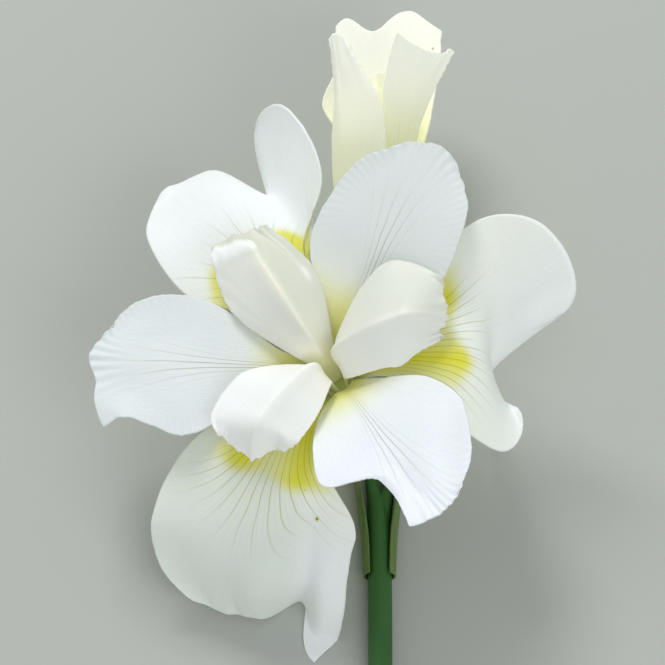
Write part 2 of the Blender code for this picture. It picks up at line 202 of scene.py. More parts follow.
# A petal's surface: veins follow the flow from its claw, twigs branch between them, and fine ribs
# run along the fan. The masks on its vertices say where each colour lies.
def petalMaterial(look):
    made, tree, shader = newMaterial(look["name"])
    uv = tree.nodes.new("ShaderNodeUVMap")
    uv.uv_map = "petalMap"
    coords = objectCoords(tree)
    flow = attribute(tree, "veinFlow")
    sway = noiseNode(tree, coords, *petalSkin["wanderNoise"])
    wander = mathNode(tree, "MULTIPLY", sway, look["wander"])

    def alongFlow(count, width):
        return lines(tree, mathNode(tree, "MULTIPLY_ADD", flow, count, wander), width)

    fine = stretched(tree, uv.outputs["UV"], (look["ribs"], look["ribRuns"], 1.0))
    ribs = noiseNode(tree, fine, *petalSkin["ribNoise"])
    patches = noiseNode(tree, coords, *petalSkin["patchNoise"])
    patchy = mathNode(tree, "MULTIPLY_ADD", patches, *petalSkin["patchContrast"], clamp=True)
    veins = alongFlow(look["veins"], look["veinWidth"])
    veins = mathNode(tree, "MULTIPLY", veins, attribute(tree, "veinMask"))
    twigs = mathNode(tree, "MULTIPLY", alongFlow(look["twigs"], look["twigWidth"]), patchy)
    twigs = mathNode(tree, "MULTIPLY", twigs, attribute(tree, "twigMask"))
    drawn = mathNode(tree, "MAXIMUM", veins, twigs)

    cloud = noiseNode(tree, coords, *petalSkin["cloudNoise"])
    ground = mixColours(tree, cloud, look["pale"], look["shade"])
    tinted = mathNode(tree, "MULTIPLY", ribs, look["ribTint"])
    ground = mixColours(tree, tinted, ground, look["ribColour"])
    # The first of these masks lays painted shade on the side of a petal that faces away from the
    # light; the rest are the petal's own colours.
    for tone in ("paintedShade", "warm", "yellow", "green"):
        ground = mixColours(tree, attribute(tree, tone + "Mask"), ground, look[tone])
    coloured = mixColours(tree, drawn, ground, look["veinColour"])
    coloured = addSpecks(tree, coords, coloured, look["specks"])

    tree.links.new(coloured, shader.inputs["Base Color"])
    shader.inputs["Roughness"].default_value = look["roughness"]
    shader.inputs["Specular IOR Level"].default_value = petalSkin["specular"]
    shader.inputs["Subsurface Weight"].default_value = look["glow"]
    shader.inputs["Subsurface Radius"].default_value = petalSkin["scatterRadius"]
    shader.inputs["Subsurface Scale"].default_value = petalSkin["scatterScale"]
    tree.links.new(coloured, shader.inputs["Emission Color"])
    shader.inputs["Emission Strength"].default_value = look["paintedGlow"]  # painted glow: the petal gives off its own colour, standing in for daylight through thin petals and lifting the shade
    shader.inputs["Sheen Weight"].default_value = petalSkin["sheen"]
    shader.inputs["Sheen Roughness"].default_value = petalSkin["sheenRoughness"]
    cells = noiseNode(tree, coords, *petalSkin["cellNoise"])
    relief = mathNode(tree, "MULTIPLY", cells, petalSkin["cellRelief"])
    relief = mathNode(tree, "MULTIPLY_ADD", ribs, petalSkin["ribRelief"], relief)
    relief = mathNode(tree, "MULTIPLY_ADD", drawn, petalSkin["veinRelief"], relief)
    addBump(tree, shader, relief, look["relief"], petalSkin["reliefDepth"])
    return made


# Veins and twigs are counted in a unit of flow, ribs in a radian of the fan and ribRuns along the
# petal. Specks are given by their place and size in millimetres.
# Each look also holds the colour of the painted shade that darkens a petal's side facing away from
# the light.
petalLooks = {
    "fall": dict(
        name="creamWhiteFall", veins=6.5, veinWidth=0.075, twigs=15.0, twigWidth=0.1, wander=1.1,
        ribs=110.0, ribRuns=10.0, ribTint=0.35,
        pale=(0.86, 0.89, 0.89), shade=(0.79, 0.82, 0.80), ribColour=(0.69, 0.73, 0.68),
        paintedShade=(0.65, 0.70, 0.63), warm=(0.76, 0.80, 0.60), yellow=(0.68, 0.66, 0.05),
        green=(0.30, 0.36, 0.05), veinColour=(0.28, 0.31, 0.05),
        roughness=0.5, glow=0.25, relief=0.6, paintedGlow=0.1,
        specks=[(-2.3, -4.3, 29.6, 0.3), (-5.0, 1.0, 33.6, 0.15)]),
    "standard": dict(
        name="coolWhiteStandard", veins=5.0, veinWidth=0.1, twigs=9.0, twigWidth=0.07, wander=0.6,
        ribs=150.0, ribRuns=16.0, ribTint=0.4,
        pale=(0.86, 0.89, 0.92), shade=(0.78, 0.82, 0.86), ribColour=(0.66, 0.71, 0.76),
        paintedShade=(0.61, 0.65, 0.63), warm=(0.80, 0.82, 0.66), yellow=(0.74, 0.73, 0.24),
        green=(0.50, 0.53, 0.14), veinColour=(0.32, 0.36, 0.16),
        roughness=0.5, glow=0.25, relief=1.0, paintedGlow=0.1, specks=[]),
    "style_arm": dict(
        name="pureWhiteStyleArm", veins=12.0, veinWidth=0.10, twigs=30.0, twigWidth=0.1, wander=0.6,
        ribs=60.0, ribRuns=7.0, ribTint=0.12,
        pale=(0.88, 0.89, 0.88), shade=(0.83, 0.85, 0.83), ribColour=(0.74, 0.76, 0.70),
        paintedShade=(0.60, 0.62, 0.53), warm=(0.84, 0.80, 0.63), yellow=(0.72, 0.72, 0.40),
        green=(0.68, 0.70, 0.38), veinColour=(0.66, 0.66, 0.50),
        roughness=0.42, glow=0.3, relief=0.4, paintedGlow=0.12, specks=[]),
    "bud": dict(
        name="creamBudPetal", veins=13.0, veinWidth=0.1, twigs=34.0, twigWidth=0.14, wander=0.8,
        ribs=90.0, ribRuns=9.0, ribTint=0.35,
        pale=(0.93, 0.93, 0.85), shade=(0.88, 0.89, 0.78), ribColour=(0.77, 0.79, 0.63),
        paintedShade=(0.86, 0.86, 0.62), warm=(0.86, 0.86, 0.62), yellow=(0.72, 0.74, 0.32),
        green=(0.44, 0.50, 0.14), veinColour=(0.58, 0.63, 0.24),
        roughness=0.5, glow=0.3, relief=0.5, paintedGlow=0.18, specks=[(24.9, 115.9, 30.2, 0.2)]),
    "bract": dict(
        name="paperyBract", veins=10.0, veinWidth=0.2, twigs=27.0, twigWidth=0.2, wander=0.2,
        ribs=60.0, ribRuns=5.0, ribTint=0.8,
        pale=(0.14, 0.24, 0.06), shade=(0.20, 0.28, 0.08), ribColour=(0.08, 0.15, 0.03),
        paintedShade=(0.20, 0.28, 0.08), warm=(0.40, 0.36, 0.18), yellow=(0.42, 0.40, 0.20),
        green=(0.15, 0.24, 0.08), veinColour=(0.08, 0.14, 0.04),
        roughness=0.6, glow=0.05, relief=0.6, paintedGlow=0.0, specks=[]),
}
petalMaterials = {name: petalMaterial(look) for name, look in petalLooks.items()}
print("petal materials ready")


# What a petal has unless its own settings say otherwise. Distances are in millimetres and azimuths in
# degrees. Along runs from 0 at the claw to 1 at the tip, and across from -1 at the right edge to 1 at
# the left edge.
# Each station gives the midrib's reach from the flower's axis and its height, then for the right and
# the left edge its half width, how far it stands out and how far it rises.
# A notch (across, width, depth, lateness) draws the margin back towards the axis, and a dip draws it
# back along the petal. With a negative depth either one lets it out.
# A lip is a raised line (start, end, rise, width), and flow is how the veins open.
plainPetal = dict(
    curl=(2.0, 2.0), notches=(), dips=(), lips=(), crease=0.0, keel=0.0, teeth=0.0,
    paintedShade=(0.0, 0.0, 0.0))  # painted shade of the right side, painted shade of the left side, and where they meet
frill = dict(start=0.3, rightPhase=2.4, leftPhase=0.6, power=3)
pleating = dict(
    sidePower=4, tip=(0.78, 1.0), tipPower=2, fanGrain=6.0, arcGrain=0.06, shift=6.0, least=0.6)
swelling = dict(acrossGrain=2.0, arcGrain=0.07)
keelShape = dict(width=0.3, starts=(0.1, 0.3), ends=(0.72, 0.86))
toothing = dict(
    coarseGrain=9.0, fineGrain=27.0, fineShare=0.7, waves=7, waveDepth=0.3, jagDepth=1.5, lateness=8)
raggedness = dict(fanGrain=14.0, arcGrain=0.25, tip=(0.88, 1.0), sidePower=5, nibbleGrain=1.1)
tangentStep = 0.01
creaseSpread = 1.2  # a crease is a little wider than the notch that it runs up to
veinReach = 40.0  # how far along the midrib the veins have opened by their whole growth
lipStretch = 2.0  # along counts double beside across
floorGap = 0.02  # between the floor and a petal's underside


def midribArcs(rows):  # length along the midrib, at even steps
    count = 60
    points = [smoothBetween(rows, index / count)[:2] for index in range(count + 1)]
    arcs = [0.0]
    for (x0, y0), (x1, y1) in zip(points, points[1:]):
        arcs.append(arcs[-1] + math.hypot(x1 - x0, y1 - y0))
    return arcs


def fanPlace(petal, arc, sideways):  # angle on the fan, and place in the flow of the veins
    start, growth, power, bow = petal["flow"]
    bowed = max(arc, 0.0) + bow * sideways ** 2
    flow = sideways / (start + growth * (bowed / veinReach) ** power)
    return math.atan2(sideways, arc + petal["fanStart"]), flow


def offLine(along, across, start, end):  # distance from a line drawn on the petal
    point = Vector((across, along * lipStretch))
    first = Vector((start[1], start[0] * lipStretch))
    last = Vector((end[1], end[0] * lipStretch))
    part = min(max((point - first).dot(last - first) / (last - first).length_squared, 0.0), 1.0)
    return (point - first.lerp(last, part)).length


def cutBack(cuts, along, across):
    total = 0.0
    for place, width, depth, lateness in cuts:
        total += depth * along ** lateness * hump(across, place, width)
    return total


def creases(petal):  # a groove up to each notch
    return [
        (place, width * creaseSpread, petal["crease"], lateness)
        for place, width, depth, lateness in petal["notches"] if depth > 0.0
    ]


def bladeRelief(petal, along, across, sideways, arc, fan, spread):  # frill, pleats and swell
    side = abs(across)
    seed = petal["seed"]
    phase = frill["leftPhase"] if across > 0 else frill["rightPhase"]
    frilled = math.sin(math.tau * petal["waves"] * along + phase)
    frilled *= petal["ruffle"] * spread * side ** frill["power"]
    tip = ramp(along, *pleating["tip"]) ** pleating["tipPower"]
    margin = max(side ** pleating["sidePower"], tip) * spread
    grain = noise.noise(Vector((fan * pleating["fanGrain"], arc * pleating["arcGrain"], seed)))
    bearing = math.atan2(sideways, arc - petal["bladeMiddle"])
    pleat = math.sin(petal["pleats"] * bearing + pleating["shift"] * grain)
    pleat *= petal["pleatDepth"] * margin * (pleating["least"] + grain)
    swell = noise.noise(Vector((across * swelling["acrossGrain"], arc * swelling["arcGrain"], seed)))
    return frilled + pleat + swell * petal["swell"] * spread


def keelRise(petal, along, across):
    keel = petal["keel"] * hump(across, 0.0, keelShape["width"])
    return keel * ramp(along, *keelShape["starts"]) * fade(along, *keelShape["ends"])


def lipRise(petal, along, across):
    total = 0.0
    for start, end, rise, width in petal["lips"]:
        total += rise * hump(offLine(along, across, start, end), 0.0, width)
    return total


def crestTeeth(petal, along, across):  # 0.5 and 1.5 only keep the two noises apart
    seed = petal["seed"]
    jag = noise.noise(Vector((across * toothing["coarseGrain"], 0.5, seed)))
    jag += toothing["fineShare"] * noise.noise(Vector((across * toothing["fineGrain"], 1.5, seed)))
    wave = toothing["waveDepth"] * math.cos(across * math.pi * toothing["waves"])
    return petal["teeth"] * along ** toothing["lateness"] * (wave + toothing["jagDepth"] * jag)


def petalPoint(petal, rows, arcs, along, across):
    reach, height, *edges = smoothBetween(rows, along)
    width, out, up = edges[3:] if across > 0 else edges[:3]
    ahead = smoothBetween(rows, min(along + tangentStep, 1.0))
    behind = smoothBetween(rows, max(along - tangentStep, 0.0))
    tangent = Vector((ahead[0] - behind[0], 0.0, ahead[1] - behind[1])).normalized()
    normal = Vector((-tangent.z, 0.0, tangent.x))
    side = abs(across)
    sideways = across * width
    rightCurl, leftCurl = petal["curl"]
    bend = side ** (leftCurl if across > 0 else rightCurl)
    arc = smoothBetween([(value,) for value in arcs], along)[0]
    fan, flow = fanPlace(petal, arc, sideways)
    spread = max(along - frill["start"], 0.0) / (1.0 - frill["start"])

    relief = bladeRelief(petal, along, across, sideways, arc, fan, spread)
    relief += keelRise(petal, along, across)
    relief += lipRise(petal, along, across)
    relief -= cutBack(creases(petal), along, across)

    # the uneven edge, where 3.0 and 0.5 only keep the noises apart
    seed = petal["seed"]
    wavyPlace = Vector((fan * raggedness["fanGrain"], arc * raggedness["arcGrain"], seed + 3.0))
    wavy = noise.noise(wavyPlace) * petal["ragged"]
    nibble = noise.noise(Vector((arc * raggedness["nibbleGrain"], seed, 0.5))) * petal["nibble"]
    uneven = wavy * across + math.copysign(nibble, across)
    onwards = crestTeeth(petal, along, across) - cutBack(petal["dips"], along, across)
    onwards += wavy * ramp(along, *raggedness["tip"])

    notch = cutBack(petal["notches"], along, across)
    point = Vector((reach + out * bend - notch, sideways, height + up * bend))
    point += normal * relief
    point += tangent * onwards
    point.y += uneven * side ** raggedness["sidePower"] * spread
    return point, fan, arc, flow


paintedShadeEdge = 0.15  # how softly the painted shade of the two sides meets
lipShade = dict(beyond=0.08, widthShare=0.6)  # a lip gets a painted highlight, with a line of painted shade beyond it


# Painted shade: how much darker each side of a petal is painted where it faces away from the light,
# plus a painted highlight on each lip and painted shade just beyond it.
def sidePaintedShade(petal, along, across):
    right, left, fold = petal["paintedShade"]
    tone = right + (left - right) * ramp(across, fold - paintedShadeEdge, fold + paintedShadeEdge)
    # each lip: a painted highlight along it and a line of painted shade just beyond it
    for start, end, rise, width in petal["lips"]:
        narrow = width * lipShade["widthShare"]
        shaded = hump(offLine(along - lipShade["beyond"], across, start, end), 0.0, narrow)
        light = hump(offLine(along, across, start, end), 0.0, narrow)
        tone += rise * (shaded - light)
    return tone


def petalPiece(node, petal, place):
    columns, rowCount = petal["grid"]
    rows = [(*midrib, *right, *left) for midrib, right, left in petal["stations"]]
    arcs = midribArcs(rows)
    turn = Matrix.Rotation(math.radians(petal["azimuth"]), 4, "Z")
    mesh = bpy.data.meshes.new(node + "Petal")
    shape = bmesh.new()
    uvLayer = shape.loops.layers.uv.new("petalMap")
    maskNames = ("yellowMask", "greenMask", "warmMask", "veinMask", "twigMask", "paintedShadeMask")
    layers = [shape.verts.layers.float.new(name) for name in maskNames]
    flowLayer = shape.verts.layers.float.new("veinFlow")
    bmesh.ops.create_grid(shape, x_segments=columns, y_segments=rowCount, size=1.0)
    fans = {}
    for vertex in shape.verts:
        across, along = vertex.co.x, (vertex.co.y + 1) / 2
        point, fan, arc, flow = petalPoint(petal, rows, arcs, along, across)
        fans[vertex] = (fan, along)
        vertex[flowLayer] = flow
        masks = petal["masks"](petal, across, along, fan, arc, flow)
        for layer, value in zip(layers, (*masks, sidePaintedShade(petal, along, across))):
            vertex[layer] = min(max(value, 0.0), 1.0)
        point = place @ turn @ point
        point.z = max(point.z, petal["thickness"] / 2 + floorGap)
        vertex.co = point * mm
    for face in shape.faces:
        for loop in face.loops:
            loop[uvLayer].uv = fans[loop.vert]
    shape.to_mesh(mesh)
    shape.free()
    mesh.shade_smooth()
    mesh.materials.append(petalMaterials[petal["look"]])
    piece = bpy.data.objects.new(node + "Petal", mesh)
    bpy.context.scene.collection.objects.link(piece)
    solid = piece.modifiers.new("Thickness", "SOLIDIFY")
    solid.thickness = petal["thickness"] * mm
    solid.offset = 0.0
    settle(piece, node)


# Every mask function gives yellow, green, warm, vein and twig, each from 0 to 1. A pair of numbers
# says where a ramp starts and ends: millimetres along the midrib, unless its name holds angle (in
# radians on the fan), flow or line (the share of the petal's length).
fallMarks = dict(
    middleEnd=33.0, yellowFade=4.0, sideAngle=0.2, sideSpread=0.12, outerAngles=(0.32, 0.46),
    outerFrom=(22.0, 28.0), green=(5.0, 14.0), warm=(32.0, 50.0), warmShare=0.35,
    sideways=1.5, unevenEnd=12.0, unevenGrain=6.5,
    veinFrom=(12.0, 20.0), veinFades=32.0, veinFlow=(0.95, 1.25), veinShare=0.8,
    twigFrom=(26.0, 34.0), twigFades=34.0, twigLonger=4.0, twigFlow=(0.9, 1.3), twigShare=0.25)


def fallMasks(petal, across, along, fan, arc, flow):
    marks = fallMarks
    away = abs(fan - petal["signal"])
    sides = hump(away, marks["sideAngle"], marks["sideSpread"])
    rightEnd, leftEnd = petal["signalEnds"]
    sideEnd = leftEnd if fan > petal["signal"] else rightEnd
    end = marks["middleEnd"] + (sideEnd - marks["middleEnd"]) * sides
    yellow = fade(arc, end - marks["yellowFade"], end) * (0.5 + 0.5 * sides)
    yellow *= 1.0 - ramp(away, *marks["outerAngles"]) * ramp(arc, *marks["outerFrom"])
    aside = math.tan(fan) * (arc + petal["fanStart"])
    far = math.hypot(arc, marks["sideways"] * aside)
    uneven = noise.noise(Vector((flow * marks["unevenGrain"], petal["seed"], 0.5)))
    fades = petal["veinEnd"] + marks["unevenEnd"] * uneven
    vein = ramp(arc, *marks["veinFrom"]) * fade(far, marks["veinFades"], fades)
    vein *= marks["veinShare"] * fade(abs(flow), *marks["veinFlow"])
    fades += marks["twigLonger"]
    twig = ramp(arc, *marks["twigFrom"]) * fade(far, marks["twigFades"], fades)
    twig *= marks["twigShare"] * fade(abs(flow), *marks["twigFlow"])
    warm = marks["warmShare"] * fade(arc, *marks["warm"])
    return yellow, fade(arc, *marks["green"]), warm, vein, twig


standardMarks = dict(
    yellowFade=12.0, yellowAngle=0.36, green=(8.0, 15.0), warmFrom=6.0, warmTo=8.0, warmShare=0.35,
    veinFlow=0.42, veinFades=(30.0, 54.0), veinShare=0.9,
    twigFlows=(0.3, 0.9), twigFades=(26.0, 46.0), twigShare=0.2)


def standardMasks(petal, across, along, fan, arc, flow):
    marks = standardMarks
    end = petal["yellowEnd"]
    yellow = fade(arc, end - marks["yellowFade"], end) * hump(fan, 0.0, marks["yellowAngle"])
    warm = marks["warmShare"] * fade(arc, end - marks["warmFrom"], end + marks["warmTo"])
    vein = marks["veinShare"] * hump(flow, 0.0, marks["veinFlow"]) * fade(arc, *marks["veinFades"])
    inner, outer = marks["twigFlows"]
    twig = marks["twigShare"] * (1.0 - hump(flow, 0.0, inner)) * hump(flow, 0.0, outer)
    return yellow, fade(arc, *marks["green"]), warm, vein, twig * fade(arc, *marks["twigFades"])


styleMarks = dict(
    lineWidth=0.1, lineFrom=(0.2, 0.4), lineTo=(0.75, 0.95), warm=(14.0, 32.0), warmShare=0.35,
    yellow=(8.0, 20.0), green=(4.0, 10.0), throatShare=0.6, twigShare=0.15)


def styleMasks(petal, across, along, fan, arc, flow):
    marks = styleMarks
    line = hump(across, 0.0, marks["lineWidth"])
    line *= ramp(along, *marks["lineFrom"]) * fade(along, *marks["lineTo"])
    warm = max(petal["blush"] * line, marks["warmShare"] * fade(arc, *marks["warm"]))
    yellow = marks["throatShare"] * fade(arc, *marks["yellow"])
    green = marks["throatShare"] * fade(arc, *marks["green"])
    return yellow, green, warm, 0.0, marks["twigShare"]


budMarks = dict(
    yellow=(14.0, 40.0), yellowShare=0.7, green=(4.0, 14.0), warm=(30.0, 50.0), warmShare=0.35,
    veins=(18.0, 38.0), veinShare=0.35, twigShare=0.3)


def budMasks(petal, across, along, fan, arc, flow):
    marks = budMarks
    yellow = marks["yellowShare"] * petal["flush"] * fade(arc, *marks["yellow"])
    warm = marks["warmShare"] * fade(arc, *marks["warm"])
    vein = petal["flush"] * fade(arc, *marks["veins"])
    green = fade(arc, *marks["green"])
    return yellow, green, warm, marks["veinShare"] * vein, marks["twigShare"] * vein


bractMarks = dict(warmLine=(0.6, 1.0), veinShare=0.6, twigShare=0.4)


def bractMasks(petal, across, along, fan, arc, flow):  # papery towards its tip
    marks = bractMarks
    return 0.0, 0.0, ramp(along, *marks["warmLine"]), marks["veinShare"], marks["twigShare"]


fallBase = dict(
    plainPetal, look="fall", masks=fallMasks, grid=(120, 140), thickness=0.4, fanStart=5.0,
    flow=(4.0, 14.2, 3, 0.014), bladeMiddle=40.0, pleats=62.0, pleatDepth=0.08, ruffle=0.7, waves=3.0,
    swell=0.55, ragged=0.3, nibble=0.2, crease=1.6)
fallClaw = [
    ((4.5, -4.0), (3.0, 0.0, 0.0), (3.0, 0.0, 0.0)),
    ((7.5, 3.5), (3.5, -0.3, 1.0), (3.5, -0.3, 1.0)),
]
falls = {
    "fall_front": dict(
        fallBase, seed=1.7, azimuth=-120,
        signal=0.0, signalEnds=(34.5, 35.0), veinEnd=54.0, paintedShade=(0.75, 0.1, 0.5),
        notches=[
            (0.57, 0.2, 9.5, 3), (-0.4, 0.35, -2.0, 3),
            (0.02, 0.16, -0.7, 8), (-0.8, 0.2, -0.7, 8),
        ],
        stations=fallClaw + [
            ((15.0, 7.5), (9.0, 0.0, 1.5), (7.0, 0.0, 1.5)),
            ((25.0, 8.0), (18.0, 0.0, 0.0), (13.0, -2.0, -3.0)),
            ((35.0, 4.0), (22.0, 1.0, 1.0), (20.5, -6.0, -7.0)),
            ((44.0, -2.0), (21.5, 5.0, 3.0), (20.5, -9.0, -10.0)),
            ((51.0, -10.0), (18.0, 4.0, 4.0), (20.5, -3.0, -16.5)),
            ((53.7, -21.0), (10.0, 3.5, 6.0), (13.6, 5.1, -27.0)),
        ]),
    "fall_left": dict(
        fallBase, seed=5.1, azimuth=118, curl=(3.2, 1.6),
        signal=0.04, signalEnds=(47.0, 41.0), veinEnd=54.0,
        notches=[(-0.47, 0.26, 19.0, 1)],
        stations=fallClaw + [
            ((15.0, 7.5), (6.5, 0.0, 1.5), (8.0, 0.0, 1.5)),
            ((26.0, 8.5), (9.5, 3.0, 1.0), (13.0, -1.0, 0.0)),
            ((37.0, 8.5), (20.5, 2.0, 4.5), (20.0, -1.0, -1.5)),
            ((48.0, 7.0), (23.5, 3.0, 7.5), (21.0, 5.0, -0.5)),
            ((60.0, 4.0), (21.5, 2.5, 9.0), (16.5, 1.0, 0.0)),
            ((66.0, -2.0), (15.0, 0.0, 9.0), (10.0, -1.0, 4.0)),
            ((64.0, -14.0), (12.0, -4.0, 10.0), (6.0, 0.0, 2.0)),
            ((58.0, -25.0), (7.0, -4.0, 4.0), (4.0, 0.0, 0.0)),
        ]),
    "fall_right": dict(
        fallBase, seed=9.4, azimuth=5, curl=(1.5, 2.8),
        signal=0.09, signalEnds=(37.0, 34.5), veinEnd=45.0, paintedShade=(0.3, 0.1, 0.0),
        stations=fallClaw + [
            ((15.0, 7.5), (7.0, 0.0, 1.5), (9.0, 0.0, 1.5)),
            ((24.0, 8.0), (14.0, -1.0, -1.0), (21.0, 2.0, 1.0)),
            ((31.0, 6.0), (21.0, -1.0, -5.0), (28.0, 9.0, 4.0)),
            ((35.0, 1.0), (24.0, 1.0, -5.0), (25.0, 17.0, 8.5)),
            ((34.5, -7.0), (19.0, 5.5, 1.0), (15.0, 23.0, 13.0)),
            ((31.0, -16.0), (12.0, 9.0, 8.0), (6.0, 23.4, 16.0)),
            ((28.5, -27.0), (6.0, 3.0, 3.0), (6.5, 5.5, 12.0)),
            ((27.0, -41.0), (4.0, 0.0, 1.0), (4.0, 0.0, 1.0)),
        ]),
}
for node, petal in falls.items():
    petalPiece(node, petal, bloomFrame)
print("falls made")

standardBase = dict(
    plainPetal, look="standard", masks=standardMasks, grid=(110, 120), thickness=0.4, fanStart=14.0,
    flow=(2.2, 8.0, 3, 0.008), bladeMiddle=38.0, pleats=56.0, pleatDepth=0.28, ruffle=0.7, waves=2.5,
    swell=0.8, ragged=0.6, nibble=0.3, crease=0.3)
standardClaw = [
    ((3.1, -4.0), (2.2, 0.0, 0.0), (2.2, 0.0, 0.0)),
    ((6.0, 4.0), (2.6, -0.4, 0.4), (2.6, -0.4, 0.4)),
]
standards = {
    "standard_left": dict(
        standardBase, seed=2.2, azimuth=178, yellowEnd=24.0, paintedShade=(0.65, 0.65, 0.0),
        notches=[(0.3, 0.25, 1.5, 3)],
        stations=standardClaw + [
            ((12.0, 8.5), (4.5, 0.0, 1.0), (4.0, 0.0, 1.0)),
            ((22.0, 11.0), (12.5, 0.0, 1.5), (12.5, 0.0, 0.0)),
            ((32.0, 13.5), (16.5, 0.0, 1.5), (17.0, 0.0, -0.5)),
            ((43.5, 15.5), (15.0, 0.0, 1.0), (13.2, 0.0, -0.5)),
            ((54.0, 16.5), (9.0, -4.0, 0.0), (14.3, -4.5, -1.0)),
        ]),
    "standard_back": dict(
        standardBase, seed=6.6, azimuth=61, yellowEnd=27.0, paintedShade=(0.9, 0.9, 0.0),
        notches=[(0.2, 0.3, 0.6, 3)],
        stations=standardClaw + [
            ((12.0, 8.5), (6.0, 0.0, 0.5), (7.0, 0.0, 1.0)),
            ((22.0, 11.0), (15.0, 0.0, 0.5), (15.5, 0.0, 1.5)),
            ((32.0, 13.5), (17.5, 0.0, 1.0), (17.0, 0.0, 1.5)),
            ((44.0, 15.5), (15.5, 0.0, 0.5), (14.5, 0.0, 0.5)),
            ((56.0, 16.5), (8.0, -3.5, -0.5), (8.0, -5.0, 0.0)),
        ]),
    "standard_front": dict(
        standardBase, seed=8.8, azimuth=-57, yellowEnd=23.0, paintedShade=(0.0, 0.15, 0.0),
        ruffle=0.8, waves=3.0,
        stations=standardClaw + [
            ((11.0, 8.5), (9.0, 0.0, 1.0), (7.0, 0.0, 0.5)),
            ((19.0, 11.0), (15.0, 0.0, 1.0), (15.5, 0.0, 1.0)),
            ((28.0, 13.5), (17.0, 0.0, 0.0), (19.0, 0.0, 0.5)),
            ((35.0, 14.5), (7.0, -1.0, 0.0), (17.5, 0.0, 0.5)),
            ((43.0, 15.8), (5.8, -1.0, -0.3), (13.5, 0.0, 0.5)),
            ((51.5, 16.5), (7.0, -2.0, -0.5), (6.5, -2.5, 0.0)),
        ]),
}
for node, petal in standards.items():
    petalPiece(node, petal, bloomFrame)
print("standards made")

styleBase = dict(
    plainPetal, look="style_arm", masks=styleMasks, grid=(90, 90), thickness=0.45, fanStart=8.0,
    flow=(8.0, 40.0, 1, 0.0), bladeMiddle=20.0, pleats=40.0, pleatDepth=0.14, ruffle=0.3, waves=2.0,
    swell=0.4, ragged=0.4, nibble=0.6, crease=0.4, curl=(1.2, 1.2), keel=0.9, teeth=0.5)
styleClaw = [
    ((1.6, -4.0), (1.2, 0.0, 0.0), (1.2, 0.0, 0.0)),
    ((2.4, 6.0), (2.9, 0.4, -0.6), (2.9, 0.4, -0.6)),
]
styleArms = {
    "style_arm_front": dict(
        styleBase, seed=3.3, azimuth=-127, blush=0.1, paintedShade=(0.0, 0.2, 0.0),
        notches=[(0.5, 0.25, 1.5, 3)],
        stations=styleClaw + [
            ((3.8, 13.5), (5.0, 0.5, -3.5), (4.8, 0.5, -3.5)),
            ((12.0, 17.5), (11.8, 0.0, -3.5), (7.8, 0.0, -5.0)),
            ((18.5, 18.3), (13.2, 0.0, -3.5), (8.3, 0.0, -5.0)),
            ((24.0, 17.6), (12.5, 0.5, -2.8), (8.3, -3.5, -4.0)),
            ((28.6, 10.0), (10.0, -1.0, 4.3), (7.0, -7.0, 2.2)),
        ]),
    "style_arm_left": dict(
        styleBase, seed=7.2, azimuth=120, blush=0.5, paintedShade=(0.95, 0.6, 0.0),
        notches=[(-0.1, 0.2, 1.2, 3)],
        lips=[((0.88, -0.1), (0.94, 1.0), 1.1, 0.09), ((0.95, -0.75), (0.6, -0.8), 0.6, 0.1)],
        stations=styleClaw + [
            ((4.5, 14.5), (4.6, 0.5, -4.0), (5.2, 0.5, -4.0)),
            ((13.0, 18.5), (8.0, 0.0, -5.5), (9.0, 0.0, -6.0)),
            ((21.0, 19.2), (9.2, 0.0, -5.0), (11.5, 0.0, -5.5)),
            ((28.5, 19.0), (7.7, -0.5, -3.5), (10.7, 1.0, -4.5)),
            ((36.5, 17.0), (5.3, -2.5, -0.5), (7.5, 0.7, -0.8)),
        ]),
    "style_arm_right": dict(
        styleBase, seed=4.9, azimuth=12, blush=0.1, paintedShade=(0.47, 0.75, 0.0),
        notches=[(-0.5, 0.2, 1.5, 3)],
        stations=styleClaw + [
            ((4.0, 14.0), (5.8, 0.3, -4.5), (4.2, 0.3, -2.5)),
            ((12.0, 18.3), (7.0, 0.0, -6.5), (13.0, 1.0, -4.0)),
            ((18.5, 19.2), (7.5, -1.5, -7.5), (16.4, 2.3, -4.0)),
            ((24.6, 18.5), (6.0, -4.0, -6.8), (11.5, 4.1, -3.0)),
            ((29.6, 11.8), (3.8, -2.6, -1.3), (8.0, 1.4, 3.7)),
        ]),
}
for node, petal in styleArms.items():
    petalPiece(node, petal, bloomFrame)
print("style arms made")

